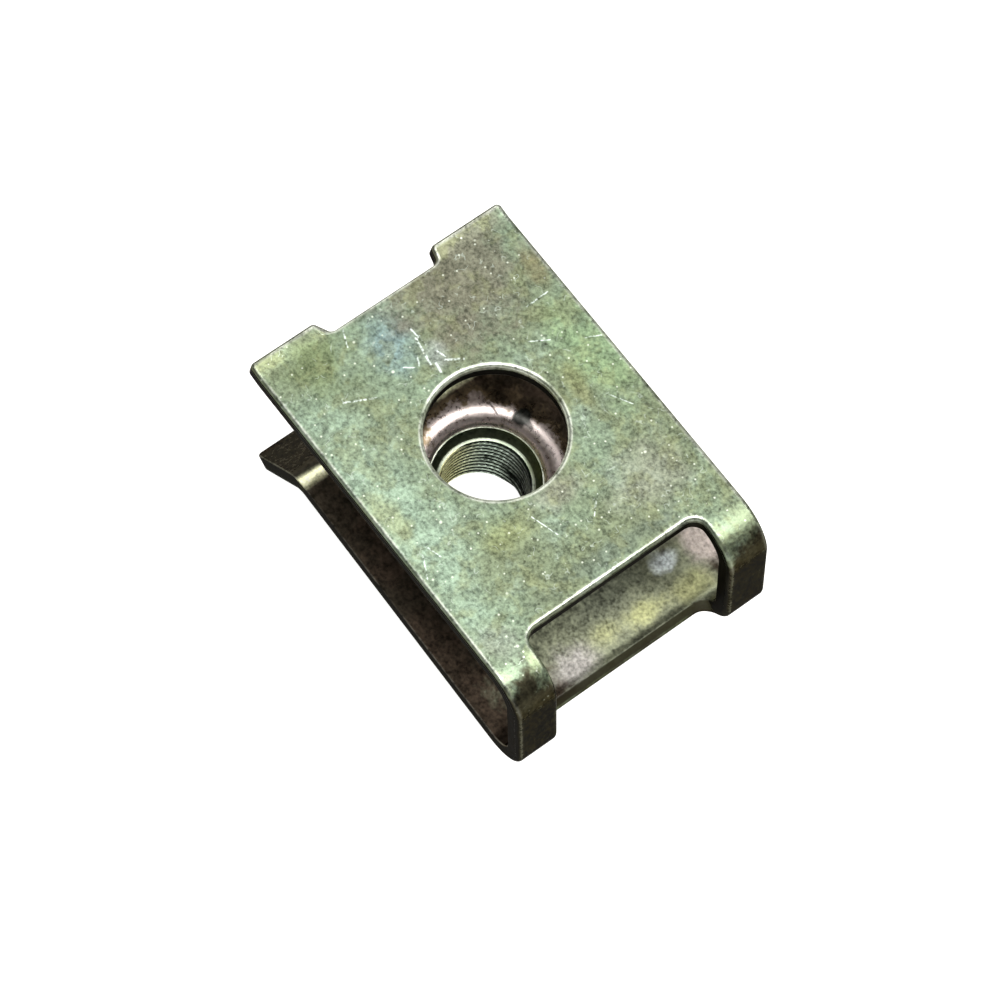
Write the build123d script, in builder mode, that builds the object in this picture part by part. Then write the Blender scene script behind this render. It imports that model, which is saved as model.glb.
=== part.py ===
from build123d import *
import math
import os

os.makedirs("parts", exist_ok=True)

# ---- sheet ----
sheet_thickness = 1.1
clip_width = 16.6
side_offset = 0.3  # thread axis to the strip's mid-line, which runs on the -Y side of it
edge_roll = 0.22  # punched edges are rolled over on the clip's outer skin
tip_roundness = 0.3  # free corners of the tabs and of the lip

# ---- threaded barrel, drawn out of the lower leaf; its free end is z = 0 and its axis is Z ----
thread_bore_radius = 2.5  # minor radius of an M6 coarse thread
thread_length = 4.35
barrel_wall = 1.15
barrel_end_chamfer = 0.25
entry_cone_width = 0.7
entry_cone_depth = 1.0
throat_land = 0.1  # straight ring between the cone and the mouth
funnel_radius = 0.85  # drawn mouth of the barrel
barrel_root_radius = 0.8

# ---- folds ----
leaf_gap = 6.5  # clear height between the leaves on the thread axis
leaf_rise_deg = 4.0  # the top leaf opens towards the bend
web_lean_deg = 8.6  # the web leans out towards the lower leaf
top_bend_radius = 1.55  # inside of the fold, as is the next
low_bend_radius = 1.3
web_reach = 14.0  # thread axis to the web, along the lower leaf's mid-plane
lip_reach = 5.7  # thread axis to the lip's fold
lip_length = 5.2
lip_drop_deg = 50.0
lip_inner_radius = 0.8

# ---- top leaf, measured along the leaf from the clearance hole ----
clearance_radius = 3.85
clearance_offset = 0.2  # from the thread axis towards the bend, taken up as the leaves spring shut
tab_reach = 10.9
tab_depth = 1.0  # the edge between the tabs stands back by this
tab_kick_deg = 12.0  # the tabs lift clear of the panel
tab_kick_radius = 2.0
tab_gap = 7.0  # width between the tabs at their roots
tab_gap_flare_left = 0.6  # the flanks of the gap open outwards
tab_gap_flare_right = 0.2
tab_root_radius = 0.45

# ---- window through the bend ----
window_width = 11.5
window_top_reach = 10.0  # from the clearance hole, along the top leaf
window_low_reach = 12.4  # from the thread axis, along the lower leaf's inner face
window_low_tilt_deg = 22.0  # the start of the bend turns this cut face upwards
window_corner_radius = 0.8

skin_tolerance = 0.01  # for telling which edges lie on the outer skin

# ---- placing of the leaves ----
half_sheet = sheet_thickness / 2
barrel_height = thread_length + entry_cone_depth + throat_land + funnel_radius
low_mid_z = barrel_height - half_sheet
low_skin_z = barrel_height - sheet_thickness
rise = math.radians(leaf_rise_deg)
lean = math.radians(web_lean_deg)
drop = math.radians(lip_drop_deg)
low_tilt = math.radians(window_low_tilt_deg)
kick = math.radians(leaf_rise_deg - tab_kick_deg)
ring_radius = thread_bore_radius + entry_cone_width
barrel_radius = thread_bore_radius + barrel_wall

top_mid_z = barrel_height + leaf_gap + half_sheet / math.cos(rise)
top_skin_z = barrel_height + leaf_gap + sheet_thickness / math.cos(rise)
top_leaf = Plane(
    origin=(clearance_offset, -side_offset, top_skin_z + clearance_offset * math.tan(rise)),
    x_dir=(math.cos(rise), 0, math.sin(rise)),
    z_dir=(-math.sin(rise), 0, math.cos(rise)),
)
low_leaf = Plane(origin=(0, 0, low_skin_z))
low_cut = Plane(
    origin=(window_low_reach, -side_offset, barrel_height),
    x_dir=(math.cos(low_tilt), 0, math.sin(low_tilt)),
    z_dir=(-math.sin(low_tilt), 0, math.cos(low_tilt)),
)

# ---- mid-line of the folded strip, in the XZ plane ----
notch_reach = tab_reach - tab_depth
kick_corner = top_leaf.from_local_coords(Vector(-notch_reach, 0, -half_sheet))
web_run = (top_mid_z - low_mid_z + web_reach * math.tan(rise)) / (
    math.cos(lean) + math.sin(lean) * math.tan(rise)
)
strip_corners = [
    (kick_corner.X - tab_depth * math.cos(kick), kick_corner.Z - tab_depth * math.sin(kick)),
    (kick_corner.X, kick_corner.Z),
    (web_reach - web_run * math.sin(lean), low_mid_z + web_run * math.cos(lean)),
    (web_reach, low_mid_z),
    (-lip_reach, low_mid_z),
    (-lip_reach - lip_length * math.cos(drop), low_mid_z - lip_length * math.sin(drop)),
]
strip_radii = [
    tab_kick_radius,
    top_bend_radius + half_sheet,
    low_bend_radius + half_sheet,
    lip_inner_radius + half_sheet,
]


def on_outer_skin(edge):
    """True for an edge that runs along the clip's outer skin, not for the seams across it."""
    spots = [edge @ 0, edge @ 0.5, edge @ 1]
    shadows = [Vertex(spot.X, spot.Z, 0) for spot in spots]
    if any(skin_line.distance_to(shadow) > skin_tolerance for shadow in shadows):
        return False
    return all(joint.distance_to(shadows[1]) > skin_tolerance for joint in skin_line.vertices())


with BuildPart() as clip_nut:
    # the strip, folded
    with BuildSketch(Plane.XZ.offset(side_offset)):
        with BuildLine() as mid_line:
            FilletPolyline(*strip_corners, radius=strip_radii)
        trace(line_width=sheet_thickness)
    extrude(amount=clip_width / 2, both=True)
    skin_line = offset(mid_line.line, half_sheet, side=Side.LEFT, closed=False, mode=Mode.PRIVATE)

    # gap between the tabs
    with BuildSketch(top_leaf):
        with BuildLine():
            Polyline(
                (-notch_reach, -tab_gap / 2),
                (-notch_reach, tab_gap / 2),
                (-2 * tab_reach + notch_reach, tab_gap / 2 + 2 * tab_gap_flare_right),
                (-2 * tab_reach + notch_reach, -tab_gap / 2 - 2 * tab_gap_flare_left),
                close=True,
            )
        gap_outline = make_face()
        fillet(gap_outline.vertices().sort_by(Axis.X)[-2:], tab_root_radius)
    extrude(amount=2 * sheet_thickness, both=True, mode=Mode.SUBTRACT)

    # clearance hole in the top leaf
    with BuildSketch(top_leaf):
        Circle(clearance_radius)
    extrude(amount=-leaf_gap / 2 - sheet_thickness, mode=Mode.SUBTRACT)

    # window, cut square to the sheet at each end and meeting in the open space behind the web
    for leaf, near in ((top_leaf, window_top_reach), (low_cut, 0)):
        with BuildSketch(leaf):
            with Locations((near, 0)):
                window_outline = Rectangle(web_reach, window_width, align=(Align.MIN, Align.CENTER))
            fillet(window_outline.vertices().sort_by(Axis.X)[:2], window_corner_radius)
        extrude(amount=leaf_gap / 2 + 2 * sheet_thickness, both=True, mode=Mode.SUBTRACT)

    # free corners of the tabs and the lip, then the rolled edges of the outer skin
    free_ends = faces().sort_by(Axis.X)[:2] + faces().sort_by(Axis.Z)[:1]
    fillet(free_ends.edges().filter_by(Axis.Y, reverse=True), tip_roundness)
    fillet(edges().filter_by(on_outer_skin), edge_roll)

    # barrel, blended into the lower leaf
    with BuildSketch(low_leaf):
        Circle(barrel_radius)
    extrude(amount=-low_skin_z)
    barrel_rims = edges().filter_by(GeomType.CIRCLE).filter_by(
        lambda rim: abs(rim.radius - barrel_radius) < skin_tolerance
    )
    fillet(barrel_rims.sort_by(Axis.Z)[-1], barrel_root_radius)
    chamfer(barrel_rims.sort_by(Axis.Z)[0], barrel_end_chamfer)

    # thread bore with its entry cone, then the drawn mouth
    with BuildSketch(Plane.XZ):
        with BuildLine():
            Polyline(
                (0, 0),
                (thread_bore_radius, 0),
                (thread_bore_radius, thread_length),
                (ring_radius, thread_length + entry_cone_depth),
                (ring_radius, barrel_height),
                (0, barrel_height),
                close=True,
            )
        make_face()
    revolve(axis=Axis.Z, mode=Mode.SUBTRACT)
    mouth = edges().filter_by(GeomType.CIRCLE).filter_by(
        lambda rim: abs(rim.center().Z - barrel_height) < skin_tolerance
    )
    fillet(mouth, funnel_radius)

clip_nut.part.label = "clip_nut"
export_step(clip_nut.part, "parts/clip_nut.step")
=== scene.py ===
import bpy
import bmesh
import math
import numpy as np
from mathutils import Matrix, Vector
from mathutils.geometry import delaunay_2d_cdt


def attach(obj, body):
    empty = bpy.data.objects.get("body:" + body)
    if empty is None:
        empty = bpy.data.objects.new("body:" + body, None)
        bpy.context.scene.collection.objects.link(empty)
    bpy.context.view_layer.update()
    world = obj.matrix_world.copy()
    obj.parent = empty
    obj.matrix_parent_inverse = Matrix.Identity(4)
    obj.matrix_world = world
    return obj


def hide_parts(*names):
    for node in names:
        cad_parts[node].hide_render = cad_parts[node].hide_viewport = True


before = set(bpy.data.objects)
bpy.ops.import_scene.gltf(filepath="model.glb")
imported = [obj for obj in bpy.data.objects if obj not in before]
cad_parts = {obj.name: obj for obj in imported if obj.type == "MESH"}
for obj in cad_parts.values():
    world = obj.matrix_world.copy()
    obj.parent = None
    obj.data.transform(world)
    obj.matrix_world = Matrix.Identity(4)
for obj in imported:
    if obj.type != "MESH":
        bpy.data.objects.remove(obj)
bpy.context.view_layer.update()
print("stage 1: frame loaded")

mm = 0.001  # lengths below are in millimetres until the mesh is scaled


# small helpers for node trees, where a value is either fixed or the socket of another node
def feed(tree, socket, value):
    if isinstance(value, bpy.types.NodeSocket):
        tree.links.new(value, socket)
    else:
        socket.default_value = value


def addNode(tree, kind, values=None, **settings):
    node = tree.nodes.new(kind)
    for name, value in settings.items():
        setattr(node, name, value)
    for key, value in (values or {}).items():
        feed(tree, node.inputs[key], value)
    return node


def calc(tree, operation, *terms, clamp=False):
    node = addNode(tree, "ShaderNodeMath", dict(enumerate(terms)), operation=operation, use_clamp=clamp)
    return node.outputs[0]


def times(tree, first, *others):
    for other in others:
        first = calc(tree, "MULTIPLY", first, other)
    return first


def calcVector(tree, operation, *terms):
    return addNode(tree, "ShaderNodeVectorMath", dict(enumerate(terms)), operation=operation).outputs


def scaleVector(tree, vector, factor):
    return addNode(tree, "ShaderNodeVectorMath", {0: vector, "Scale": factor}, operation="SCALE").outputs[0]


def axes(tree, vector):
    return addNode(tree, "ShaderNodeSeparateXYZ", {0: vector}).outputs


def remap(tree, value, low, high, start=0.0, end=1.0, kind="SMOOTHSTEP"):
    values = {0: value, 1: low, 2: high, 3: start, 4: end}
    return addNode(tree, "ShaderNodeMapRange", values, interpolation_type=kind).outputs[0]


def newGroup(kind, name, inputs, outputs):
    tree = bpy.data.node_groups.new(name, kind)
    for label, socketType, default in inputs:
        socket = tree.interface.new_socket(label, in_out="INPUT", socket_type=socketType)
        if default is not None:
            socket.default_value = default
    for label, socketType in outputs:
        tree.interface.new_socket(label, in_out="OUTPUT", socket_type=socketType)
    return tree, tree.nodes.new("NodeGroupInput"), tree.nodes.new("NodeGroupOutput")


clip = {
    "sheet": 1.1,
    "width": 16.6,
    "sideOffset": 0.3,  # thread axis to the strip's mid-line
    "skinRoll": 0.22,  # rolled edge on the outer skin
    "innerBreak": 0.05,  # small broken edge on the inner face
    "cornerRound": 0.3,
    "leafGap": 6.5,
    "leafRise": math.radians(4.0),
    "webLean": math.radians(8.6),
    "webReach": 14.0,
    "topBend": 1.55,
    "lowBend": 1.3,
    "lipReach": 5.7,
    "lipLength": 5.2,
    "lipDrop": math.radians(50.0),
    "lipBend": 0.8,
    "holeRadius": 3.85,
    "holeOffset": 0.2,
    "tabReach": 10.9,
    "tabDepth": 1.0,
    "tabKick": math.radians(12.0),
    "tabKickRadius": 2.0,
    "tabGap": 7.0,
    "tabFlareLeft": 0.6,
    "tabFlareRight": 0.2,
    "tabRoot": 0.45,
    "windowWidth": 11.5,
    "windowTop": 10.0,
    "windowLowTurn": math.radians(24.0),  # how far into the bend its low edge lies
    "windowRound": 0.8,
    "mapScale": 60.0,  # millimetres of strip that the flat map spans
    "mapOrigin": (0.2, 0.5),  # where the thread axis lies on that map
}

barrel = {
    "minor": 2.5,
    "threadLength": 4.35,
    "throat": 3.2,  # radius where the mouth ends
    "coneDepth": 1.0,
    "land": 0.1,  # height between the mouth and the entry cone
    "funnel": 0.85,  # depth of the rounded mouth
    "funnelSpread": 1.25,
    "outer": 3.65,
    "root": 0.8,
    "endChamfer": 0.25,
    "pitch": 1.0,
    "phase": 0.35,  # where around the bore the thread starts, in turns
    "grooveRim": 0.20,  # half the groove's width at the crests, as a share of the pitch
    "grooveFloor": 0.05,
    "splitRim": 0.33,  # where the split in a crest begins, from the groove's middle
    "splitFloor": 0.46,
    "grooveDepth": 0.38,
    "splitDepth": 0.30,  # split that the forming tap leaves in each crest
    "mouthShoulder": 0.07,
    "leadShoulder": 0.16,
    "leadRise": 0.12,
    "shoulderTilt": math.radians(10.0),
    "wallDepth": 0.56,  # of the steep wall between the two shoulders
    "leadLength": 0.10,  # over which the bore narrows to the thread's crests
    "rimStep": 0.02,  # over which a shoulder turns down
    "ringSides": 128,
    "threadStep": 0.022,  # between the rings that the thread is cut into
}

meshSteps = {
    "grid": 0.32,
    "bend": 0.16,
    "arc": 0.07,
    "columnClear": 0.05,  # between a rounded corner and the next column
    "rimClear": 0.09,  # between a rim and the grid beside it
    "rollSteps": 5,
    "curveSteps": 12,  # around the barrel's mouth and its root
    "holeSides": 120,
    "atOnce": 2000,  # grid points whose distance to the rims is worked out together
    "sharpAngle": math.radians(38),
}

half = clip["sheet"] / 2
barrelHeight = barrel["threadLength"] + barrel["coneDepth"] + barrel["land"] + barrel["funnel"]


# unrolls the strip: where each fold, hole and edge lies on the flat blank
def foldPlan():
    rise, lean = clip["leafRise"], clip["webLean"]
    lowMid = barrelHeight - half
    topMid = barrelHeight + clip["leafGap"] + half / math.cos(rise)
    run = topMid - lowMid + clip["webReach"] * math.tan(rise)
    run /= math.cos(lean) + math.sin(lean) * math.tan(rise)
    lowTurn = math.pi / 2 + lean
    topTurn = math.pi / 2 + rise - lean
    lowRadius = clip["lowBend"] + half
    topRadius = clip["topBend"] + half
    lipRadius = clip["lipBend"] + half
    lowTrim = lowRadius * math.tan(lowTurn / 2)
    topTrim = topRadius * math.tan(topTurn / 2)
    kickTrim = clip["tabKickRadius"] * math.tan(clip["tabKick"] / 2)
    lipTrim = lipRadius * math.tan(clip["lipDrop"] / 2)
    cornerX = clip["webReach"] - run * math.sin(lean)
    cornerZ = lowMid + run * math.cos(lean)
    skinZ = topMid + half / math.cos(rise) + clip["holeOffset"] * math.tan(rise)
    cornerReach = (cornerX - clip["holeOffset"]) * math.cos(rise) + (cornerZ - skinZ) * math.sin(rise)
    plan = {"lowStart": clip["webReach"] - lowTrim, "lowRadius": lowRadius, "lowTurn": lowTurn}
    plan["topStart"] = plan["lowStart"] + lowRadius * lowTurn + run - lowTrim - topTrim
    plan["topRadius"] = topRadius
    plan["topTurn"] = topTurn
    plan["topEnd"] = plan["topStart"] + topRadius * topTurn
    plan["hole"] = plan["topEnd"] + cornerReach - topTrim
    plan["notch"] = plan["hole"] + clip["tabReach"] - clip["tabDepth"]
    plan["kickStart"] = plan["notch"] - kickTrim
    plan["tip"] = plan["kickStart"] + clip["tabKickRadius"] * clip["tabKick"] + clip["tabDepth"] - kickTrim
    plan["lipStart"] = clip["lipReach"] - lipTrim
    plan["lipRadius"] = lipRadius
    plan["lipEnd"] = plan["lipStart"] + lipRadius * clip["lipDrop"] + clip["lipLength"] - lipTrim
    plan["windowLow"] = plan["lowStart"] + lowRadius * clip["windowLowTurn"]
    plan["windowTop"] = plan["hole"] - clip["windowTop"]
    return plan


plan = foldPlan()


# columns across the blank, closer together on the folds
def stations():
    marks = [-plan["lipEnd"], -plan["lipStart"] - plan["lipRadius"] * clip["lipDrop"], -plan["lipStart"],
             plan["lowStart"], plan["lowStart"] + plan["lowRadius"] * plan["lowTurn"],
             plan["topStart"], plan["topEnd"], plan["kickStart"],
             plan["kickStart"] + clip["tabKickRadius"] * clip["tabKick"], plan["tip"]]
    curved = (1, 3, 5, 7)
    columns = []
    for index in range(len(marks) - 1):
        step = meshSteps["bend"] if index in curved else meshSteps["grid"]
        count = max(2, round((marks[index + 1] - marks[index]) / step))
        columns += list(np.linspace(marks[index], marks[index + 1], count, endpoint=False))
    return np.array(columns + [marks[-1]])


columns = stations()


# a closed outline through the corners, each rounded, with the direction that leads out of the sheet
def roundedOutline(corners, radii):
    spots = []
    count = len(corners)
    for index in range(count):
        before, corner, after = (Vector(corners[(index + k) % count]) for k in (-1, 0, 1))
        toBefore, toAfter = (before - corner).normalized(), (after - corner).normalized()
        angle = toBefore.angle(toAfter)
        trim = radii[index] / math.tan(angle / 2)
        centre = corner + (toBefore + toAfter).normalized() * radii[index] / math.sin(angle / 2)
        first, last = corner + toBefore * trim, corner + toAfter * trim
        startAngle = math.atan2(*(first - centre).yx)
        turn = (math.atan2(*(last - centre).yx) - startAngle + math.pi) % (2 * math.pi) - math.pi
        steps = max(4, round(abs(turn) * radii[index] / meshSteps["arc"]))
        for k in range(steps + 1):
            at = startAngle + turn * k / steps
            spots.append(centre + radii[index] * Vector((math.cos(at), math.sin(at))))
        nextCorner = Vector(corners[(index + 2) % count])
        nextBack, nextOn = (corner - after).normalized(), (nextCorner - after).normalized()
        end = after + nextBack * radii[(index + 1) % count] / math.tan(nextBack.angle(nextOn) / 2)
        along = end - last
        if abs(along.x) > abs(along.y):
            clear = meshSteps["columnClear"]
            inside = [x for x in columns if min(last.x, end.x) + clear < x < max(last.x, end.x) - clear]
            inside = inside if end.x > last.x else inside[::-1]
            spots += [last + along * ((x - last.x) / along.x) for x in inside]
        else:
            pieces = max(1, round(along.length / meshSteps["grid"]))
            spots += [last + along * (k / pieces) for k in range(1, pieces)]
    points = np.array(spots)
    ahead, back = np.roll(points, -1, axis=0), np.roll(points, 1, axis=0)
    tangent = ahead - back
    tangent /= np.linalg.norm(tangent, axis=1)[:, None]
    return points, np.stack([tangent[:, 1], -tangent[:, 0]], axis=1)


def circleOutline(x, y, radius, sides, outward=-1.0):
    angles = np.arange(sides) * 2 * math.pi / sides
    ring = np.stack([np.cos(angles), np.sin(angles)], axis=1)
    return ring * radius + np.array([x, y]), ring * outward


midY = -clip["sideOffset"]
left, right = midY - clip["width"] / 2, midY + clip["width"] / 2
gapLeft, gapRight = midY - clip["tabGap"] / 2, midY + clip["tabGap"] / 2
outerOutline = roundedOutline(
    [(-plan["lipEnd"], left), (plan["tip"], left), (plan["tip"], gapLeft - clip["tabFlareLeft"]),
     (plan["notch"], gapLeft), (plan["notch"], gapRight), (plan["tip"], gapRight + clip["tabFlareRight"]),
     (plan["tip"], right), (-plan["lipEnd"], right)],
    [clip["cornerRound"], clip["cornerRound"], clip["cornerRound"], clip["tabRoot"], clip["tabRoot"],
     clip["cornerRound"], clip["cornerRound"], clip["cornerRound"]],
)
windowHalf = clip["windowWidth"] / 2
windowPoints, windowNormals = roundedOutline(
    [(plan["windowLow"], midY - windowHalf), (plan["windowTop"], midY - windowHalf),
     (plan["windowTop"], midY + windowHalf), (plan["windowLow"], midY + windowHalf)],
    [clip["windowRound"]] * 4,
)
windowOutline = (windowPoints, -windowNormals)
holeOutline = circleOutline(plan["hole"], midY, clip["holeRadius"], meshSteps["holeSides"])

# the blank, with a layer for each mask that the finish reads
blank = bmesh.new()
wearAndGlintLayer = blank.verts.layers.float.new("wearAndGlint")
cutLayer = blank.verts.layers.float.new("cut")
boreLayer = blank.verts.layers.float.new("bore")
innerLayer = blank.verts.layers.float.new("inner")


def addLoop(points, depth, wearAndGlint=0.0, cut=0.0, bore=0.0, inner=0.0):
    loop = []
    for x, y in points:
        vert = blank.verts.new((x, y, depth))
        vert[wearAndGlintLayer], vert[cutLayer], vert[boreLayer], vert[innerLayer] = wearAndGlint, cut, bore, inner
        loop.append(vert)
    return loop


def joinLoops(first, second):
    count = len(first)
    for k in range(count):
        blank.faces.new((first[k], first[(k + 1) % count], second[(k + 1) % count], second[k]))


edgeLook = {
    "margin": 0.1,  # skin beside the roll where nothing is worn
    "fade": 0.03,  # over which wear and painted highlight fade out on the skin
    "rollWearAndGlint": (0.4, 0.95, 0.5, 0.1, 0.0, 0.0),  # wear and painted highlight around the roll, from the skin to the wall
    "shearEnd": 0.2,  # share of the wall that the punch leaves smooth
    "tearStart": 0.27,
    # share of wear and painted highlight on the walls of the window and the hole
    "windowBurnishAndGlint": 0.2,
    "holeBurnishAndGlint": 0.85,
}


# rolled skin edge, cut wall and broken inner edge, with wear and painted highlight on the roll and painted
# shade on the wall; gives back the loops that the two skins fill up to
def punchedEdge(outline, burnishAndGlint):
    points, normals = outline
    roll, small = clip["skinRoll"], clip["innerBreak"]
    margin, fade = edgeLook["margin"], edgeLook["fade"]
    wall = clip["sheet"] - roll - small
    rawCutAndShade = 1.0 - burnishAndGlint
    loops = [addLoop(points - normals * (roll + margin), -half)]
    loops.append(addLoop(points - normals * (roll + fade), -half, wearAndGlint=0.2))
    for k in range(meshSteps["rollSteps"] + 1):
        turn = math.radians(90 * k / meshSteps["rollSteps"])
        spread, sink = roll * (1 - math.sin(turn)), roll * (1 - math.cos(turn))
        wearAndGlint, cut = max(edgeLook["rollWearAndGlint"][k], burnishAndGlint), max(0.0, (k - 1) / 4) * rawCutAndShade
        loops.append(addLoop(points - normals * spread, -half + sink, wearAndGlint=wearAndGlint, cut=cut))
    wallTop = -half + roll
    loops.append(addLoop(points, wallTop + wall * edgeLook["shearEnd"], cut=rawCutAndShade, wearAndGlint=burnishAndGlint))
    loops.append(addLoop(points, wallTop + wall * edgeLook["tearStart"], cut=1.0, inner=0.5))
    loops.append(addLoop(points, half - small - fade, cut=1.0, inner=1.0))
    loops.append(addLoop(points, half - small, cut=0.6, wearAndGlint=0.4, inner=1.0))
    loops.append(addLoop(points - normals * small, half, wearAndGlint=1.0, inner=1.0))
    loops.append(addLoop(points - normals * (small + fade), half, inner=1.0))
    for first, second in zip(loops, loops[1:]):
        joinLoops(first, second)
    return loops[0], loops[-1]


def insideLoop(points, loop):
    first, second = loop, np.roll(loop, -1, axis=0)
    inside = np.zeros(len(points), bool)
    for (x1, y1), (x2, y2) in zip(first, second):
        if y1 != y2:
            crosses = (points[:, 1] > y1) != (points[:, 1] > y2)
            inside ^= crosses & (points[:, 0] < x1 + (points[:, 1] - y1) * (x2 - x1) / (y2 - y1))
    return inside


# fills one skin of the sheet between its loops, with grid points so that it can fold
def fillSheet(loops, depth, inner):
    spots, edges, verts = [], [], []
    for loop in loops:
        start = len(spots)
        spots += [vert.co.xy.copy() for vert in loop]
        verts += loop
        edges += [(start + k, start + (k + 1) % len(loop)) for k in range(len(loop))]
    rim = np.array([tuple(spot) for spot in spots])
    rows = np.linspace(left, right, round(clip["width"] / meshSteps["grid"]) + 1)[1:-1]
    grid = np.array([(x, y) for x in columns[1:-1] for y in rows])
    nearest = np.empty(len(grid))
    for first in range(0, len(grid), meshSteps["atOnce"]):
        part = slice(first, first + meshSteps["atOnce"])
        apart = grid[part][:, None] - rim[None]
        nearest[part] = np.sqrt((apart ** 2).sum(axis=2)).min(axis=1)
    grid = grid[nearest > meshSteps["rimClear"]]
    spots += [Vector(spot) for spot in grid.tolist()]
    coords, _, faces, origins, _, _ = delaunay_2d_cdt(spots, edges, [], 0, 1e-6, True)
    places = np.array([tuple(spot) for spot in coords])
    middles = places[np.array(faces)].mean(axis=1)
    solid = insideLoop(middles, np.array([vert.co.xy for vert in loops[0]]))
    for loop in loops[1:]:
        solid &= ~insideLoop(middles, np.array([vert.co.xy for vert in loop]))
    made = {}
    for face, kept in zip(faces, solid):
        if not kept:
            continue
        corners = []
        for index in face:
            if index not in made:
                source = [k for k in origins[index] if k < len(verts)]
                if source:
                    made[index] = verts[source[0]]
                else:
                    made[index] = blank.verts.new((coords[index].x, coords[index].y, depth))
                    made[index][innerLayer] = inner
            corners.append(made[index])
        blank.faces.new(corners)


edgeLoops = [
    punchedEdge(outerOutline, 0.0),
    punchedEdge(windowOutline, edgeLook["windowBurnishAndGlint"]),
    punchedEdge(holeOutline, edgeLook["holeBurnishAndGlint"]),
]


# rings of the barrel from the inner skin down the bore and back up the outside
def barrelProfile():
    rings = []  # radius, depth below the inner skin, wear and glint, cut and shade, bore, inner
    quarter = [math.radians(90 * k / meshSteps["curveSteps"]) for k in range(meshSteps["curveSteps"] + 1)]
    for turn in quarter:
        spread = barrel["funnelSpread"] * (1 - math.sin(turn))
        sink = barrel["funnel"] * (1 - math.cos(turn))
        rings.append((barrel["throat"] + spread, sink, 0.0, 0.0, 0.0, 1.0))
    # a narrow shoulder where the mouth ends, a steep wall, and a second shoulder where the thread starts
    slope = math.tan(barrel["shoulderTilt"])
    rim = barrel["rimStep"]
    wallTop, threadTop = barrel["throat"] - barrel["mouthShoulder"], barrel["minor"] + barrel["leadRise"]
    depth = barrel["funnel"] + barrel["mouthShoulder"] * slope
    # the wear and glint on the two shoulders paints highlight lines there
    rings.append((barrel["throat"], barrel["funnel"] + rim / 4, 1.0, 0.0, 0.8, 0.0))
    rings.append((wallTop + rim / 4, depth, 1.0, 0.0, 0.8, 0.0))
    # the cut and shade on the steep wall below paints it in shade
    rings.append((wallTop, depth + rim, 0.0, 0.5, 0.8, 0.0))
    depth = barrel["funnel"] + barrel["land"] + barrel["wallDepth"]
    rings.append((threadTop + barrel["leadShoulder"] + rim, depth - rim, 0.0, 0.6, 0.8, 0.0))
    rings.append((threadTop + barrel["leadShoulder"], depth, 0.45, 0.0, 0.8, 0.0))
    depth += barrel["leadShoulder"] * slope
    rings.append((threadTop, depth, 0.5, 0.0, 0.8, 0.0))
    rings.append((threadTop - rim / 2, depth + rim, 0.0, 0.0, 1.0, 0.0))
    # the bore that the thread is cut into
    length = barrelHeight - depth
    steps = round(length / barrel["threadStep"])
    for k in range(1, steps + 1):
        below = length * k / steps
        radius = barrel["minor"] + barrel["leadRise"] * max(0.0, 1 - below / barrel["leadLength"])
        rings.append((radius, depth + below, 0.0, 0.0, 1.0, 0.0))
    # the chamfered end, the outside and the root
    rings.append((barrel["outer"] - barrel["endChamfer"], barrelHeight, 0.4, 0.0, 0.0, 0.0))
    rings.append((barrel["outer"], barrelHeight - barrel["endChamfer"], 0.4, 0.0, 0.0, 0.0))
    for turn in quarter:
        spread, rise = barrel["root"] * (1 - math.cos(turn)), barrel["root"] * (1 - math.sin(turn))
        rings.append((barrel["outer"] + spread, clip["sheet"] + rise, 0.0, 0.0, 0.0, 0.0))
    return rings


barrelLoops = []
for radius, below, *masks in barrelProfile():
    ring, _ = circleOutline(0, 0, radius, barrel["ringSides"])
    barrelLoops.append(addLoop(ring, half - below, *masks))
for first, second in zip(barrelLoops, barrelLoops[1:]):
    joinLoops(first, second)

fillSheet([pair[0] for pair in edgeLoops] + [barrelLoops[-1]], -half, 0.0)
fillSheet([pair[1] for pair in edgeLoops] + [barrelLoops[0]], half, 1.0)
bmesh.ops.recalc_face_normals(blank, faces=blank.faces)
flatMap = blank.loops.layers.uv.new("flat")
mapX, mapY = clip["mapOrigin"]
for face in blank.faces:
    for corner in face.loops:
        spot = corner.vert.co
        corner[flatMap].uv = (spot.x / clip["mapScale"] + mapX, spot.y / clip["mapScale"] + mapY)
blankMesh = bpy.data.meshes.new("clipNut")
blank.to_mesh(blankMesh)
blank.free()
clipBlank = bpy.data.objects.new("clipBlank", blankMesh)
bpy.context.scene.collection.objects.link(clipBlank)
print("stage 2: blank made,", len(blankMesh.polygons), "faces")


# what both shaping trees end with
def closeTree(tree, end, geometry, material):
    real = addNode(tree, "GeometryNodeRealizeInstances", {"Geometry": geometry})
    coat = addNode(tree, "GeometryNodeSetMaterial", {"Geometry": real.outputs[0], "Material": material})
    tree.links.new(coat.outputs[0], end.inputs[0])


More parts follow.
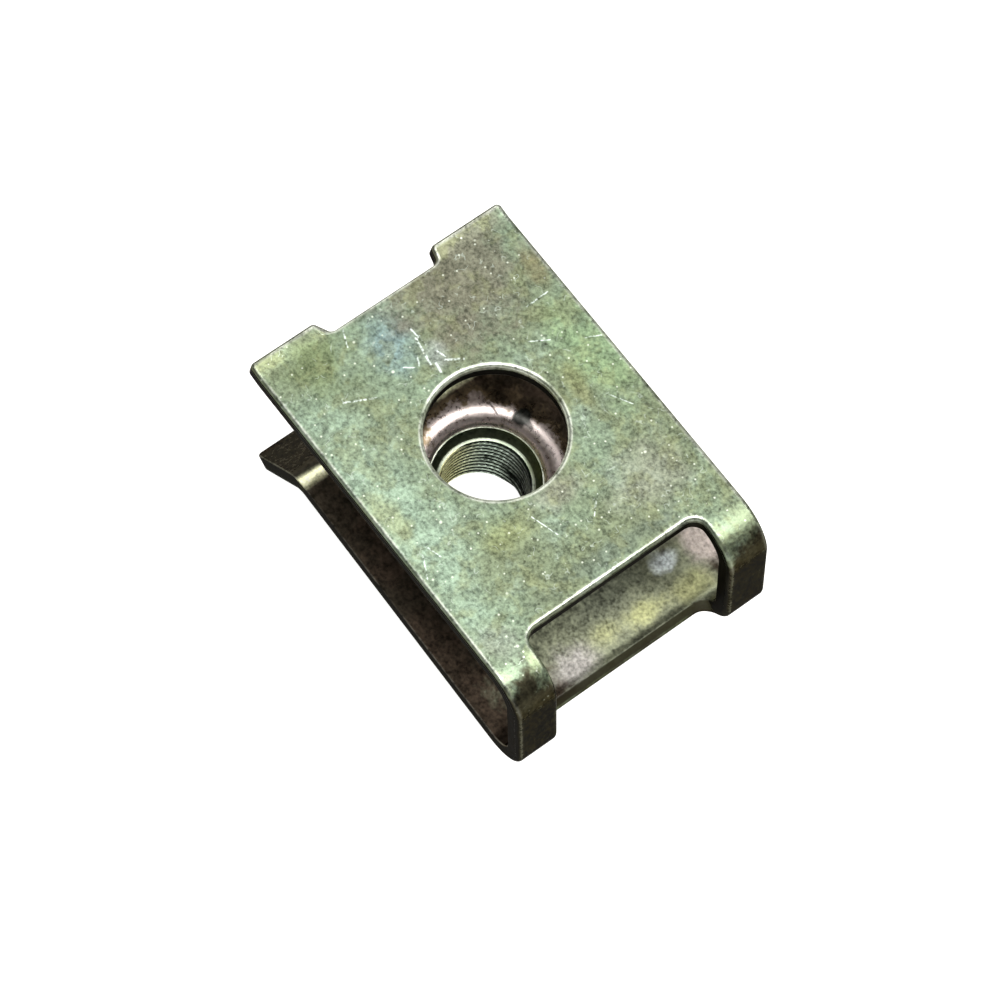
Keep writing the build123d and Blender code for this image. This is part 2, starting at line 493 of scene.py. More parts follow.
# cuts the thread into the bore: one groove a turn, and the split that a forming tap leaves in each crest
def threadTree():
    inputs = [("Geometry", "NodeSocketGeometry", None), ("Pitch", "NodeSocketFloat", 1.0),
              ("Minor Radius", "NodeSocketFloat", 2.5), ("Groove Depth", "NodeSocketFloat", 0.4),
              ("Split Depth", "NodeSocketFloat", 0.2), ("Phase", "NodeSocketFloat", 0.0),
              ("Material", "NodeSocketMaterial", None)]
    tree, start, end = newGroup("GeometryNodeTree", "cutThread", inputs, [("Geometry", "NodeSocketGeometry")])
    give = start.outputs
    x, y, z = axes(tree, addNode(tree, "GeometryNodeInputPosition").outputs[0])
    bore = addNode(tree, "GeometryNodeInputNamedAttribute", {"Name": "bore"}, data_type="FLOAT").outputs[0]
    inBore = calc(tree, "GREATER_THAN", bore, 0.9)  # the shoulders, at 0.8, stay as they are
    radius = calc(tree, "SQRT", calc(tree, "ADD", times(tree, x, x), times(tree, y, y)))
    around = calc(tree, "DIVIDE", calc(tree, "ARCTAN2", y, x), 2 * math.pi)
    turns = calc(tree, "SUBTRACT", calc(tree, "DIVIDE", z, give["Pitch"]), around)
    phase = calc(tree, "FRACT", calc(tree, "ADD", turns, give["Phase"]))
    aside = calc(tree, "ABSOLUTE", calc(tree, "SUBTRACT", phase, 0.5))  # from the groove's middle, in pitches
    groove = remap(tree, aside, barrel["grooveRim"], barrel["grooveFloor"], kind="LINEAR")
    split = remap(tree, aside, barrel["splitRim"], barrel["splitFloor"], kind="LINEAR")
    depths = (times(tree, groove, give["Groove Depth"]), times(tree, split, give["Split Depth"]))
    cutTo = calc(tree, "ADD", calc(tree, "MAXIMUM", *depths), give["Minor Radius"])
    wanted = calc(tree, "MAXIMUM", radius, cutTo)
    factor = calc(tree, "DIVIDE", wanted, calc(tree, "MAXIMUM", radius, 0.001))  # never by nought
    spread = {0: times(tree, x, factor), 1: times(tree, y, factor), 2: z}
    place = addNode(tree, "ShaderNodeCombineXYZ", spread)
    values = {"Geometry": give["Geometry"], "Selection": inBore, "Position": place.outputs[0]}
    move = addNode(tree, "GeometryNodeSetPosition", values)
    hollow = times(tree, inBore, calc(tree, "MAXIMUM", groove, split))
    values = {"Geometry": move.outputs[0], "Name": "hollow", "Value": hollow}
    keep = addNode(tree, "GeometryNodeStoreNamedAttribute", values, data_type="FLOAT", domain="POINT")
    closeTree(tree, end, keep.outputs[0], give["Material"])
    return tree


# one fold: what lies past its start goes around the bend, and the rest runs straight on from there
def bendTree():
    inputs = [("Geometry", "NodeSocketGeometry", None), ("Start", "NodeSocketFloat", 0.0),
              ("Radius", "NodeSocketFloat", 1.0), ("Turn", "NodeSocketFloat", 0.0),
              ("Side", "NodeSocketFloat", 1.0), ("Way", "NodeSocketFloat", 1.0)]
    tree, start, end = newGroup("GeometryNodeTree", "bendStrip", inputs, [("Geometry", "NodeSocketGeometry")])
    give = start.outputs
    x, y, z = axes(tree, addNode(tree, "GeometryNodeInputPosition").outputs[0])
    along = calc(tree, "SUBTRACT", times(tree, x, give["Side"]), give["Start"])
    depth = times(tree, z, give["Way"])
    arc = calc(tree, "MAXIMUM", calc(tree, "DIVIDE", along, give["Radius"]), 0.0)
    arc = calc(tree, "MINIMUM", arc, give["Turn"])
    rest = calc(tree, "SUBTRACT", along, times(tree, give["Radius"], give["Turn"]))
    rest = calc(tree, "MAXIMUM", rest, 0.0)
    sine, cosine = calc(tree, "SINE", arc), calc(tree, "COSINE", arc)
    reach = calc(tree, "SUBTRACT", give["Radius"], depth)
    past = calc(tree, "ADD", times(tree, reach, sine), times(tree, rest, cosine))
    newAlong = calc(tree, "ADD", calc(tree, "MINIMUM", along, 0.0), past)
    sunk = calc(tree, "SUBTRACT", give["Radius"], times(tree, reach, cosine))
    newDepth = calc(tree, "ADD", sunk, times(tree, rest, sine))
    newX = times(tree, calc(tree, "ADD", newAlong, give["Start"]), give["Side"])
    place = addNode(tree, "ShaderNodeCombineXYZ", {0: newX, 1: y, 2: times(tree, newDepth, give["Way"])})
    values = {"Geometry": give["Geometry"], "Position": place.outputs[0]}
    move = addNode(tree, "GeometryNodeSetPosition", values)
    tree.links.new(move.outputs[0], end.inputs[0])
    return tree


# the four folds one after another, then the lift to the barrel's height and the change to metres
def foldTree(bend):
    inputs = [("Geometry", "NodeSocketGeometry", None)]
    for fold in ("Kick", "Top", "Low", "Lip"):
        inputs += [(fold + " Start", "NodeSocketFloat", 0.0), (fold + " Radius", "NodeSocketFloat", 1.0),
                   (fold + " Turn", "NodeSocketFloat", 0.0)]
    inputs += [("Lift", "NodeSocketFloat", 0.0), ("Material", "NodeSocketMaterial", None)]
    tree, start, end = newGroup("GeometryNodeTree", "foldClip", inputs, [("Geometry", "NodeSocketGeometry")])
    flow = start.outputs["Geometry"]
    for fold, side, way in (("Lip", -1.0, -1.0), ("Kick", 1.0, -1.0), ("Top", 1.0, 1.0), ("Low", 1.0, 1.0)):
        values = {"Geometry": flow, "Side": side, "Way": way}
        for part in ("Start", "Radius", "Turn"):
            values[part] = start.outputs[fold + " " + part]
        flow = addNode(tree, "GeometryNodeGroup", values, node_tree=bend).outputs[0]
    lift = addNode(tree, "ShaderNodeCombineXYZ", {2: start.outputs["Lift"]})
    raised = addNode(tree, "GeometryNodeTransform", {"Geometry": flow, "Translation": lift.outputs[0]})
    sized = addNode(tree, "GeometryNodeTransform", {"Geometry": raised.outputs[0], "Scale": (mm, mm, mm)})
    closeTree(tree, end, sized.outputs[0], start.outputs["Material"])
    return tree


def addTree(obj, tree, values):
    modifier = obj.modifiers.new(tree.name, "NODES")
    modifier.node_group = tree
    for item in tree.interface.items_tree:
        if item.item_type == "SOCKET" and item.in_out == "INPUT" and item.name in values:
            modifier[item.identifier] = values[item.name]
    return modifier


# shared by the shader groups and the material
def blend(tree, factor, first, second, mode="MIX"):
    node = addNode(tree, "ShaderNodeMix", {0: factor}, data_type="RGBA", blend_type=mode)
    for key, colour in ((6, first), (7, second)):
        feed(tree, node.inputs[key], (*colour, 1) if isinstance(colour, tuple) else colour)
    return node.outputs[2]


def noise(tree, place, scale, detail, roughness, shift=(0, 0, 0)):
    moved = calcVector(tree, "ADD", place, shift)[0]
    values = {"Vector": moved, "Scale": scale, "Detail": detail, "Roughness": roughness}
    return addNode(tree, "ShaderNodeTexNoise", values).outputs[0]


# where one patch of another colour lies on the unrolled strip, with a ragged edge
def zoneGroup():
    inputs = [("Place", "NodeSocketVector", None), ("Centre", "NodeSocketVector", None),
              ("Reach", "NodeSocketVector", None), ("Softness", "NodeSocketFloat", 0.6),
              ("Ragged", "NodeSocketFloat", 0.0)]
    tree, start, end = newGroup("ShaderNodeTree", "zone", inputs, [("Mask", "NodeSocketFloat")])
    give = start.outputs
    away = calcVector(tree, "SUBTRACT", give["Place"], give["Centre"])[0]
    share = calcVector(tree, "DIVIDE", away, give["Reach"])[0]
    edge = calc(tree, "ADD", calcVector(tree, "LENGTH", share)["Value"], give["Ragged"])
    mask = remap(tree, edge, 1.0, calc(tree, "SUBTRACT", 1.0, give["Softness"]))
    tree.links.new(mask, end.inputs["Mask"])
    return tree


# a straight scratch between two spots of the strip, strongest in the middle fifth of its width
def scratchGroup():
    inputs = [("Place", "NodeSocketVector", None), ("From", "NodeSocketVector", None),
              ("To", "NodeSocketVector", None), ("Width", "NodeSocketFloat", 0.1)]
    tree, start, end = newGroup("ShaderNodeTree", "scratch", inputs, [("Mask", "NodeSocketFloat")])
    give = start.outputs
    away = calcVector(tree, "SUBTRACT", give["Place"], give["From"])[0]
    run = calcVector(tree, "SUBTRACT", give["To"], give["From"])[0]
    along = calcVector(tree, "DOT_PRODUCT", away, run)["Value"]
    whole = calcVector(tree, "DOT_PRODUCT", run, run)["Value"]
    foot = scaleVector(tree, run, calc(tree, "DIVIDE", along, whole, clamp=True))
    gap = calcVector(tree, "DISTANCE", away, foot)["Value"]
    mask = remap(tree, calc(tree, "DIVIDE", gap, give["Width"]), 1.0, 0.2)
    tree.links.new(mask, end.inputs["Mask"])
    return tree


noiseScales = {  # cells to the metre
    "broad": 210,
    "ragged": 520,
    "straw": 700,
    "fine": 5200,
    "medium": 1700,
    "cloud": 420,
    "hairline": 900,
    "hairlineBreaks": 1500,
}

# small and large spots: cells to the metre, radius within a cell, share of the cells, shift
grainSpots = {
    "Bright": ((4200, 0.34, 0.07, (0, 0, 0)), (1900, 0.24, 0.07, (0.01, 0.02, 0))),
    "Pit": ((3000, 0.32, 0.06, (0.03, 0, 0)), (1100, 0.2, 0.06, (0, 0.04, 0))),
}


def spotMask(tree, place, scale, radius, rate, shift):
    moved = calcVector(tree, "ADD", place, shift)[0]
    cells = addNode(tree, "ShaderNodeTexVoronoi", {"Vector": moved, "Scale": scale})
    chosen = calc(tree, "GREATER_THAN", axes(tree, cells.outputs["Color"])[0], 1 - rate)
    return times(tree, remap(tree, cells.outputs["Distance"], radius, radius * 0.3), chosen)


# grain of the zinc: fine light and dark, clouds, hairlines, tiny bright crystals and dark pits
def grainGroup():
    outputs = [(name, "NodeSocketFloat") for name in ("Tone", "Cloud", "Hairline", "Bright", "Pit")]
    tree, start, end = newGroup("ShaderNodeTree", "grain", [("Vector", "NodeSocketVector", None)], outputs)
    place = start.outputs["Vector"]
    fine = noise(tree, place, noiseScales["fine"], 2.0, 0.6)
    medium = noise(tree, place, noiseScales["medium"], 3.0, 0.65, (0.01, 0.0, 0.04))
    made = {"Tone": calc(tree, "MULTIPLY_ADD", fine, 0.55, times(tree, medium, 0.45))}
    made["Cloud"] = noise(tree, place, noiseScales["cloud"], 4.0, 0.6, (0.02, 0.05, 0.0))
    vein = noise(tree, place, noiseScales["hairline"], 2.0, 0.6, (0.07, 0.0, 0.0))
    line = calc(tree, "ABSOLUTE", calc(tree, "SUBTRACT", vein, 0.5))
    breaks = noise(tree, place, noiseScales["hairlineBreaks"], 1.0, 0.5, (0.0, 0.03, 0.09))
    made["Hairline"] = times(tree, remap(tree, line, 0.016, 0.003), remap(tree, breaks, 0.56, 0.64))
    for name, (small, large) in grainSpots.items():
        made[name] = calc(tree, "MAXIMUM", spotMask(tree, place, *small), spotMask(tree, place, *large))
    for name, value in made.items():
        tree.links.new(value, end.inputs[name])
    return tree


colours = {
    "green": (0.206, 0.266, 0.180),
    "olive": (0.176, 0.208, 0.126),
    "pale": (0.262, 0.335, 0.255),
    "straw": (0.215, 0.230, 0.110),
    # the inner skin's dark browns: the chromate's tint, darkened into painted shade
    "inside": (0.042, 0.034, 0.024),
    "insideWarm": (0.066, 0.048, 0.034),
    # painted shade on the outside of the fold
    "web": (0.030, 0.024, 0.014),
    "scratch": (0.80, 0.88, 0.84),
    # bright hairlines and crystal sparkles: grain, partly painted glints
    "hairline": (0.62, 0.70, 0.60),
    "sparkle": (0.85, 0.90, 0.74),
    # bare metal of the worn edges, and painted highlight along them
    "burnishAndGlint": (0.92, 0.95, 0.82),
    # near black of the cut walls and of the bore's steep wall: partly the rough cut face, partly painted shade
    "cut": (0.024, 0.022, 0.015),
    "pit": (0.035, 0.035, 0.025),
    # the thread: crest is a painted highlight, crestShaded and hollow are painted shade
    "crest": (1.0, 1.0, 0.52),
    "crestMiddle": (0.62, 0.74, 0.62),
    "crestShaded": (0.20, 0.22, 0.20),
    "hollow": (0.004, 0.006, 0.004),
}

# patches on the outer skin: place from the hole towards the bend and across, half length, half width,
# softness, strength, colour
skinZones = {
    "paleEdge": (1.0, -7.0, 10.5, 3.0, 0.75, 0.75, (0.295, 0.395, 0.295)),
    "oliveTab": (-9.0, -5.2, 3.0, 2.6, 0.7, 0.75, (0.150, 0.185, 0.085)),
    "blueStain": (-7.3, -1.4, 2.7, 1.9, 0.80, 0.70, (0.200, 0.290, 0.300)),
    "brownTab": (-9.2, 3.6, 6.6, 5.2, 0.6, 0.85, (0.170, 0.162, 0.118)),
    "greenSide": (-0.8, 7.0, 5.0, 2.6, 0.8, 0.6, (0.245, 0.35, 0.18)),
    "goldTab": (-6.4, 7.4, 2.2, 0.9, 0.9, 0.5, (0.19, 0.155, 0.07)),
    "goldEdge": (0.8, -7.4, 2.4, 1.0, 0.8, 0.35, (0.34, 0.34, 0.14)),
    "oliveHole": (4.9, -3.2, 1.6, 1.8, 0.8, 0.5, (0.23, 0.25, 0.10)),
    "pinkHole": (4.6, 0.6, 1.3, 2.4, 0.8, 0.5, (0.27, 0.25, 0.20)),
    "greyBend": (6.6, 5.0, 3.4, 3.0, 0.8, 0.5, (0.30, 0.31, 0.25)),
    "goldLow": (0.6, 5.2, 2.4, 0.8, 0.8, 0.4, (0.27, 0.26, 0.11)),
    "shadeWindow": (9.1, 0.0, 0.9, 6.6, 0.8, 0.60, (0.13, 0.16, 0.12)),
    "whiteRub": (-5.7, 0.0, 1.3, 1.0, 0.9, 0.45, (0.42, 0.48, 0.45)),
    "tabShade": (-11.2, 0.0, 1.7, 14.0, 0.8, 0.75, (0.080, 0.088, 0.062)),
    # darker patch at the left tab's root, by the notch
    "darkTabRoot": (-10.4, -2.0, 1.2, 3.4, 0.8, 0.6, (0.13, 0.14, 0.10)),
    "greyLeft": (9.6, -7.0, 1.4, 1.6, 0.8, 0.35, (0.25, 0.24, 0.21)),
}

# patches on the inner skin: place from the thread towards the bend and across, and the rest as above
insideZones = {
    # painted light: the floor around the barrel lighter and warmer, where light falls through the hole
    "litFloor": (0.0, 0.0, 6.5, 6.0, 0.4, 0.9, (0.255, 0.195, 0.118)),
    "oliveFloor": (10.6, 1.8, 5.2, 8.4, 0.45, 0.95, (0.245, 0.262, 0.175)),
    "darkFloor": (9.2, 1.4, 1.4, 3.4, 0.8, 0.50, (0.150, 0.165, 0.125)),
    "yellowRight": (11.5, 5.4, 1.2, 2.2, 0.8, 0.70, (0.500, 0.510, 0.245)),
    "yellowMiddle": (11.3, 2.6, 1.1, 2.0, 0.8, 0.70, (0.480, 0.490, 0.230)),
    "yellowLeft": (11.0, 0.2, 1.0, 1.6, 0.8, 0.55, (0.440, 0.450, 0.220)),
    "whiteBloom": (9.5, 5.3, 0.9, 1.1, 0.7, 0.85, (0.800, 0.880, 0.880)),
    # a pinkish grey patch, lightened with painted light where it lies in shade
    "pinkGrey": (9.6, 8.0, 2.8, 1.9, 0.6, 0.85, (0.400, 0.340, 0.310)),
    "lilacCorner": (11.6, -2.4, 1.6, 2.4, 0.8, 0.75, (0.360, 0.335, 0.325)),
    # painted shade: the lip darkened right across the strip
    "lipShade": (-8.2, 0.0, 3.4, 30.0, 0.3, 0.9, (0.056, 0.053, 0.042)),
    # painted highlight along the lip's bend
    "lipHighlight": (-5.35, 0.0, 0.42, 30.0, 0.8, 0.95, (0.95, 0.95, 0.62)),
    "mouth": (0.0, 0.3, 4.5, 4.5, 0.15, 0.9, (0.60, 0.52, 0.49)),
    "mouthStain": (-1.70, 4.00, 0.62, 0.75, 0.5, 0.97, (0.016, 0.018, 0.016)),
    "mouthStreak": (-1.15, 4.0, 0.55, 0.24, 0.7, 0.8, (0.06, 0.06, 0.055)),
    "mouthNick": (-2.95, 2.95, 0.5, 0.09, 0.6, 0.85, (0.06, 0.05, 0.05)),
}

# scratches on the outer skin: from and to, each from the hole towards the bend and across, then the width
scratches = (
    ((-6.1, -5.5), (-5.3, -3.9), 0.08), ((-6.9, -0.15), (-5.0, -0.45), 0.09),
    ((-7.5, -0.05), (-6.3, 0.05), 0.07), ((-6.0, -0.75), (-5.5, -0.95), 0.08),
    ((-6.6, -0.5), (-6.9, 0.1), 0.06), ((-5.9, -1.7), (-5.5, -1.2), 0.06),
    ((-5.4, -0.1), (-4.5, -0.25), 0.10), ((-4.95, 0.36), (-4.43, 1.19), 0.10),
    ((-5.8, 0.25), (-5.1, 0.5), 0.06), ((-4.9, 5.8), (-4.95, 7.2), 0.07),
    ((-1.6, 7.2), (-1.2, 8.0), 0.06), ((3.4, -7.3), (4.6, -7.9), 0.06),
    ((3.0, -6.9), (4.0, -6.6), 0.06), ((5.0, -1.4), (6.6, -0.9), 0.05),
    ((-9.6, -3.0), (-8.6, -3.4), 0.06), ((-3.2, 4.6), (-2.6, 5.6), 0.05),
    ((1.8, 6.2), (3.0, 6.9), 0.05), ((6.0, 2.2), (6.9, 1.3), 0.05),
)


finish = {
    "raggedness": 0.35,  # of the patches' edges
    "paleShare": 0.6,
    "strawShare": 0.34,
    "scratchShare": 0.6,
    "grainSwing": 0.52,  # how far the grain takes the colour up and down
    "insideCalm": 0.06,  # so much less on the inner skin
    "mouthCalm": 0.30,  # and on the barrel's mouth and bore
    "mouthRadius": (4.6, 5.6),  # the mouth's finish fades out between these
    "shelter": 0.9,  # share of the relief, and of the painted glints, that the inner skin and the bore are spared
    "hairlines": (0.05, 0.38),  # on the web, and on the top leaf
    "sparkles": (0.05, 0.75),
    # painted highlight along the edges: less on the web and the lower leaf, which lie in shade
    "edgeLight": (0.14, 0.85),
    "lightReach": 0.8,  # past the top bend, where the edges carry their wear and painted highlight in full
    "shadeWay": (0.6, 0.8),  # towards the shaded side of the bore, along the strip and across it
    "middleFrom": (-2.2, 0.2),  # how far that way from the thread axis the bright crests fade
    "shadeFrom": (0.4, 2.3),
    "pitShare": 0.6,
    "cutShare": 0.92,
    "roughness": (0.30, 0.50),
    "mouthPolish": 0.08,
    "swellStrength": 0.25,
    "swellHeight": 0.00008,
    "reliefStrength": 0.45,
    "reliefHeight": 0.00005,
    "metallic": 0.95,
    "tint": (0.14, 0.13, 0.11, 1),
}


# what every layer of the finish reads
def finishInputs(tree):
    place = addNode(tree, "ShaderNodeTexCoord").outputs["Object"]
    grain = addNode(tree, "ShaderNodeGroup", {"Vector": place}, node_tree=grainGroup()).outputs
    masks = {}
    for name in ("wearAndGlint", "cut", "bore", "inner", "hollow"):
        masks[name] = addNode(tree, "ShaderNodeAttribute", attribute_name=name).outputs["Fac"]
    flat = addNode(tree, "ShaderNodeUVMap", uv_map="flat").outputs[0]
    flat = calcVector(tree, "SUBTRACT", flat, (*clip["mapOrigin"], 0))[0]
    strip = scaleVector(tree, flat, clip["mapScale"])
    rough = noise(tree, place, noiseScales["ragged"], 4.0, 0.65, (0.0, 0.0, 0.06))
    ragged = remap(tree, rough, 0.25, 0.75, -finish["raggedness"], finish["raggedness"], "LINEAR")
    along, across, _ = axes(tree, strip)
    return {"tree": tree, "place": place, "grain": grain, "masks": masks, "strip": strip, "along": along,
            "across": across, "ragged": ragged, "zone": zoneGroup(), "scratch": scratchGroup()}


def addZone(look, colour, centre, reach, softness, strength, paint):
    tree = look["tree"]
    values = {"Place": look["strip"], "Centre": (*centre, 0), "Reach": (*reach, 1),
              "Softness": softness, "Ragged": look["ragged"]}
    mask = addNode(tree, "ShaderNodeGroup", values, node_tree=look["zone"]).outputs[0]
    return blend(tree, times(tree, mask, strength), colour, paint)


# painted shade: the darker outside of the fold, right across the strip
webPatch = {
    "shift": 0.35,
    "trim": 0.2,
    "halfWidth": 60,
    "softness": 0.3,
    "strength": 0.95,
}


def shadeWeb(look, skin):
    middle = (plan["lowStart"] + plan["topEnd"]) / 2 - webPatch["shift"]
    reach = ((plan["topEnd"] - plan["lowStart"]) / 2 - webPatch["trim"], webPatch["halfWidth"])
    return addZone(look, skin, (middle, 0), reach, webPatch["softness"], webPatch["strength"], colours["web"])


def outerSkin(look):
    tree, place, grain = look["tree"], look["place"], look["grain"]
    broad = noise(tree, place, noiseScales["broad"], 3.0, 0.5)
    skin = blend(tree, remap(tree, broad, 0.35, 0.65), colours["olive"], colours["green"])
    clouds = times(tree, remap(tree, grain["Cloud"], 0.5, 0.68), finish["paleShare"])
    skin = blend(tree, clouds, skin, colours["pale"])
    for ahead, side, long, wide, softness, strength, paint in skinZones.values():
        centre = (plan["hole"] - ahead, midY + side)
        skin = addZone(look, skin, centre, (long, wide), softness, strength, paint)
    strawy = remap(tree, noise(tree, place, noiseScales["straw"], 3.0, 0.6, (0.04, 0.01, 0.0)), 0.50, 0.62)
    skin = blend(tree, times(tree, strawy, finish["strawShare"]), skin, colours["straw"])
    skin = shadeWeb(look, skin)
    broken = times(tree, remap(tree, grain["Tone"], 0.42, 0.56), finish["scratchShare"])
    for first, last, width in scratches:
        ends = [(plan["hole"] - ahead, midY + side, 0) for ahead, side in (first, last)]
        values = {"Place": look["strip"], "From": ends[0], "To": ends[1], "Width": width}
        mark = addNode(tree, "ShaderNodeGroup", values, node_tree=look["scratch"]).outputs[0]
        skin = blend(tree, times(tree, mark, broken), skin, colours["scratch"])
    return skin


# the inner skin: painted shade over the chromate's tint, with the patches of the table above
def innerSkin(look):
    tree = look["tree"]
    warm = remap(tree, look["grain"]["Cloud"], 0.4, 0.65)
    inside = blend(tree, warm, colours["inside"], colours["insideWarm"])
    for ahead, side, long, wide, softness, strength, paint in insideZones.values():
        inside = addZone(look, inside, (ahead, midY + side), (long, wide), softness, strength, paint)
    return inside


# painted highlight on the crests on one side of the bore and painted shade on those of the other, between
# hollows painted dark as shade
def threadColour(look):
    tree = look["tree"]
    shadeAlong, shadeAcross = finish["shadeWay"]
    sideways = calc(tree, "MULTIPLY_ADD", look["along"], shadeAlong, times(tree, look["across"], shadeAcross))
    crest = blend(tree, remap(tree, sideways, *finish["middleFrom"]), colours["crest"], colours["crestMiddle"])
    crest = blend(tree, remap(tree, sideways, *finish["shadeFrom"]), crest, colours["crestShaded"])
    crest = blend(tree, remap(tree, look["grain"]["Cloud"], 0.55, 0.4), crest, colours["hollow"])
    return blend(tree, remap(tree, look["masks"]["hollow"], 0.0, 0.2), crest, colours["hollow"])


# grain, hairlines, crystals and pits over a colour, with less of them on the inner skin and the bore; the
# bright hairlines and crystals are partly painted glints, and fade on the web, the inner skin and the bore,
# where shade falls
def addGrain(look, colour, mouth, sheltered):
    tree, grain, masks = look["tree"], look["grain"], look["masks"]
    calm = times(tree, masks["inner"], finish["insideCalm"])
    deep = calc(tree, "MAXIMUM", mouth, masks["bore"])
    calm = calc(tree, "ADD", calm, times(tree, deep, finish["mouthCalm"]))
    swing = calc(tree, "SUBTRACT", finish["grainSwing"], calm)
    tone = remap(tree, grain["Tone"], 0.36, 0.64, -0.85, 1.15, "LINEAR")
    shade = calc(tree, "MULTIPLY_ADD", tone, swing, 1.0)
    tinted = addNode(tree, "ShaderNodeCombineColor", {0: shade, 1: shade, 2: shade}).outputs[0]
    colour = blend(tree, 1.0, colour, tinted, "MULTIPLY")
    for mask, amounts, paint in (("Hairline", "hairlines", "hairline"), ("Bright", "sparkles", "sparkle")):
        share = remap(tree, look["along"], plan["topStart"], plan["topEnd"], *finish[amounts])
        colour = blend(tree, times(tree, grain[mask], share, sheltered), colour, colours[paint])
    pitted = calc(tree, "MULTIPLY_ADD", masks["inner"], -finish["pitShare"], finish["pitShare"])
    return blend(tree, times(tree, grain["Pit"], pitted), colour, colours["pit"])


# bare metal and painted highlight along the worn edges, less on the web and the lower leaf, where shade falls,
# coming and going along an edge
def addWearAndGlint(look, colour):
    tree, grain, masks = look["tree"], look["grain"], look["masks"]
    middle = (plan["topStart"] + plan["topEnd"]) / 2
    full = plan["topEnd"] + finish["lightReach"]
    litShare = remap(tree, look["along"], middle, full, *finish["edgeLight"])
    litShare = calc(tree, "MAXIMUM", litShare, masks["bore"])
    wornAndLit = times(tree, masks["wearAndGlint"], litShare, remap(tree, grain["Tone"], 0.36, 0.52, 0.35, 0.95))
    wornAndLit = times(tree, wornAndLit, remap(tree, grain["Cloud"], 0.38, 0.58, 0.25, 0.90))
    return blend(tree, wornAndLit, colour, colours["burnishAndGlint"])


def zincMaterial():
    material = bpy.data.materials.new("chromatedZinc")
    material.use_nodes = True
    tree = material.node_tree
    tree.nodes.clear()
    look = finishInputs(tree)
    grain, masks = look["grain"], look["masks"]
    fromAxis = calcVector(tree, "LENGTH", look["strip"])["Value"]
    mouthEnd, mouthFade = finish["mouthRadius"]
    mouth = times(tree, masks["inner"], remap(tree, fromAxis, mouthFade, mouthEnd))
    hidden = calc(tree, "MAXIMUM", masks["inner"], masks["bore"])
    sheltered = calc(tree, "MULTIPLY_ADD", hidden, -finish["shelter"], 1.0)

    colour = blend(tree, masks["inner"], outerSkin(look), innerSkin(look))
    colour = blend(tree, remap(tree, masks["bore"], 0.85, 0.95), colour, threadColour(look))
    colour = addGrain(look, colour, mouth, sheltered)
    # cut walls darkened: partly the rough cut face, partly painted shade
    colour = blend(tree, times(tree, masks["cut"], finish["cutShare"]), colour, colours["cut"])
    colour = addWearAndGlint(look, colour)

    rough = remap(tree, grain["Tone"], 0.35, 0.65, *finish["roughness"], "LINEAR")
    rough = calc(tree, "SUBTRACT", rough, times(tree, mouth, finish["mouthPolish"]))
    swell = {"Height": times(tree, grain["Cloud"], sheltered), "Strength": finish["swellStrength"],
             "Distance": finish["swellHeight"]}
    bump = addNode(tree, "ShaderNodeBump", swell)
    relief = {"Height": times(tree, grain["Tone"], sheltered), "Strength": finish["reliefStrength"],
              "Distance": finish["reliefHeight"], "Normal": bump.outputs[0]}
    fineBump = addNode(tree, "ShaderNodeBump", relief)
    shell = addNode(tree, "ShaderNodeBsdfPrincipled", {
        "Base Color": colour, "Metallic": finish["metallic"], "Roughness": rough,
        "Specular Tint": finish["tint"], "Normal": fineBump.outputs[0]})
    addNode(tree, "ShaderNodeOutputMaterial", {0: shell.outputs[0]})
    return material


zinc = zincMaterial()
barrelTree = threadTree()
clipTree = foldTree(bendTree())
addTree(clipBlank, barrelTree, {
    "Pitch": barrel["pitch"], "Minor Radius": barrel["minor"], "Groove Depth": barrel["grooveDepth"],
    "Split Depth": barrel["splitDepth"], "Phase": barrel["phase"], "Material": zinc,
})
addTree(clipBlank, clipTree, {
    "Kick Start": plan["kickStart"], "Kick Radius": clip["tabKickRadius"], "Kick Turn": clip["tabKick"],
    "Top Start": plan["topStart"], "Top Radius": plan["topRadius"], "Top Turn": plan["topTurn"],
    "Low Start": plan["lowStart"], "Low Radius": plan["lowRadius"], "Low Turn": plan["lowTurn"],
    "Lip Start": plan["lipStart"], "Lip Radius": plan["lipRadius"], "Lip Turn": clip["lipDrop"],
    "Lift": barrelHeight - half, "Material": zinc,
})
bpy.context.view_layer.update()
made = clipBlank.evaluated_get(bpy.context.evaluated_depsgraph_get())
folded = bpy.data.meshes.new_from_object(made)
bpy.data.objects.remove(clipBlank)
folded.name = "clipNut"
for polygon in folded.polygons:
    polygon.use_smooth = True
folded.set_sharp_from_angle(angle=meshSteps["sharpAngle"])
clipNut = bpy.data.objects.new("clipNut", folded)
bpy.context.scene.collection.objects.link(clipNut)
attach(clipNut, "root")
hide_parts("clip_nut")
print("stage 3: clip folded,", len(folded.polygons), "faces")

studio = {
    "floorSize": 20.0,
    "floorColour": (0.62, 0.60, 0.57),
    "floorGlow": 0.88,  # what the camera sees of the floor, on top of the light that falls on it
    "worldColour": (1.0, 1.0, 1.0),
    "worldStrength": 0.22,
    "lens": 145.8,
    "sensor": 36,
    "nearClip": 0.01,
    "cameraPlace": (0.0521005, -0.0578810, 0.2136302),
    "cameraTurn": (0.3461238, -0.0762978, 0.9287520),
}

# place, aim, side and power of each softbox
softboxes = {
    "keyBox": ((0.18, 0.16, 0.42), (0, 0, 0.01), 0.22, 1.2),
    "topBox": ((-0.16, 0.10, 0.45), (0, 0, 0.01), 0.35, 0.35),
    "lipBox": ((-0.34, 0.12, 0.28), (-0.006, 0, 0.006), 0.10, 0.25),  # for a glint on the lip's bend
    "boreBox": ((0.05, -0.05, 0.50), (0, 0, 0.01), 0.30, 1.8),  # near overhead, lights the barrel's mouth
}

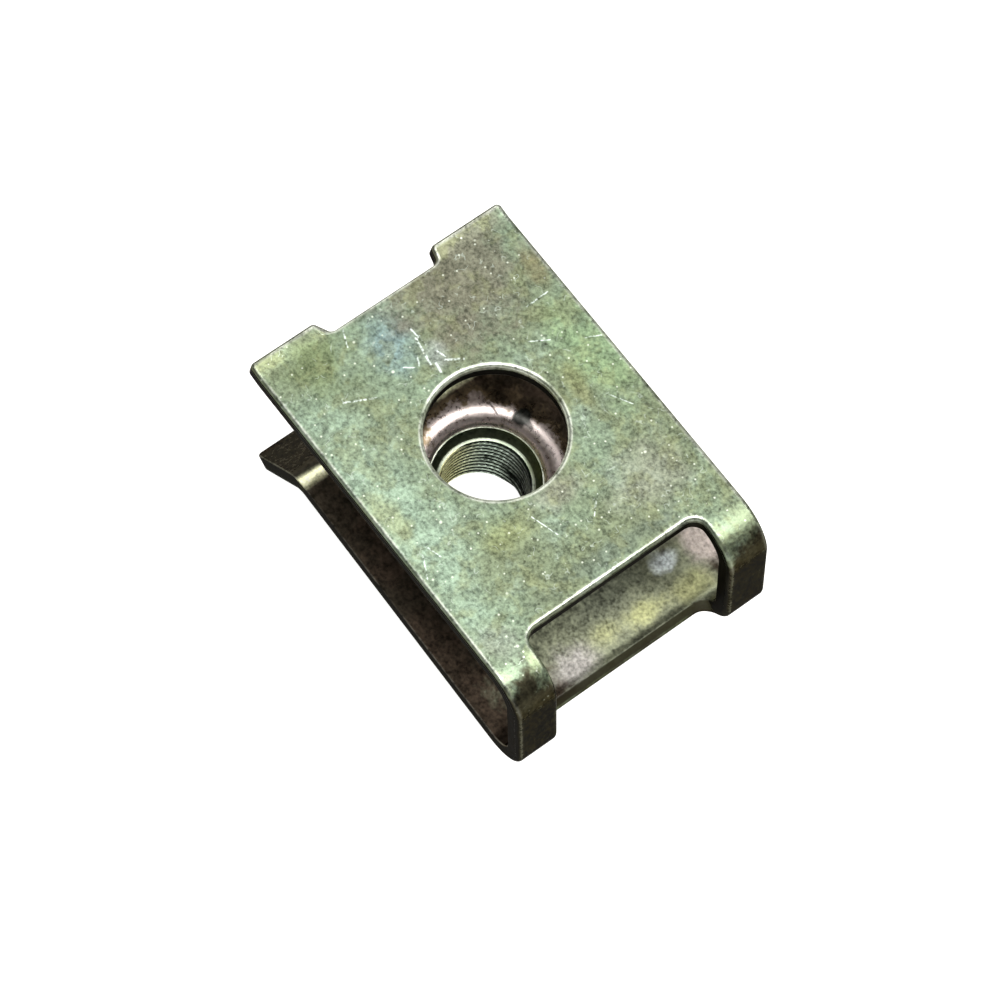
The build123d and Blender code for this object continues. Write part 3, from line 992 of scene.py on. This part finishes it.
floorMesh = bpy.data.meshes.new("floor")
reach = studio["floorSize"] / 2
corners = [(-reach, -reach, 0), (reach, -reach, 0), (reach, reach, 0), (-reach, reach, 0)]
floorMesh.from_pydata(corners, [], [(0, 1, 2, 3)])
floor = bpy.data.objects.new("floor", floorMesh)
bpy.context.scene.collection.objects.link(floor)
floorPaint = bpy.data.materials.new("floorPaint")
floorPaint.use_nodes = True
tree = floorPaint.node_tree
tree.nodes.clear()
sheen = addNode(tree, "ShaderNodeBsdfDiffuse", {"Color": (*studio["floorColour"], 1)})
rays = addNode(tree, "ShaderNodeLightPath").outputs
seen = calc(tree, "MAXIMUM", rays["Is Glossy Ray"], rays["Is Transmission Ray"])
seen = calc(tree, "MAXIMUM", rays["Is Camera Ray"], seen)
glow = addNode(tree, "ShaderNodeEmission", {"Strength": times(tree, seen, studio["floorGlow"])})
both = addNode(tree, "ShaderNodeAddShader", {0: sheen.outputs[0], 1: glow.outputs[0]})
addNode(tree, "ShaderNodeOutputMaterial", {0: both.outputs[0]})
floorMesh.materials.append(floorPaint)

world = bpy.data.worlds.new("studio")
bpy.context.scene.world = world
world.use_nodes = True
world.node_tree.nodes.clear()
skyValues = {"Color": (*studio["worldColour"], 1), "Strength": studio["worldStrength"]}
sky = addNode(world.node_tree, "ShaderNodeBackground", skyValues)
addNode(world.node_tree, "ShaderNodeOutputWorld", {0: sky.outputs[0]})


def addSoftbox(name, place, aim, side, power):
    lamp = bpy.data.lights.new(name, "AREA")
    lamp.shape = "RECTANGLE"
    lamp.size, lamp.size_y, lamp.energy = side, side, power
    box = bpy.data.objects.new(name, lamp)
    box.location = place
    box.rotation_euler = (Vector(aim) - Vector(place)).to_track_quat("-Z", "Y").to_euler()
    bpy.context.scene.collection.objects.link(box)


for name, values in softboxes.items():
    addSoftbox(name, *values)

camera = bpy.data.objects.new("camera", bpy.data.cameras.new("camera"))
camera.data.sensor_width = studio["sensor"]
camera.data.lens = studio["lens"]
camera.data.clip_start = studio["nearClip"]
camera.location = studio["cameraPlace"]
camera.rotation_euler = studio["cameraTurn"]
bpy.context.scene.collection.objects.link(camera)
bpy.context.scene.camera = camera
bpy.context.scene.view_settings.view_transform = "Standard"
print("stage 4: set and camera placed")
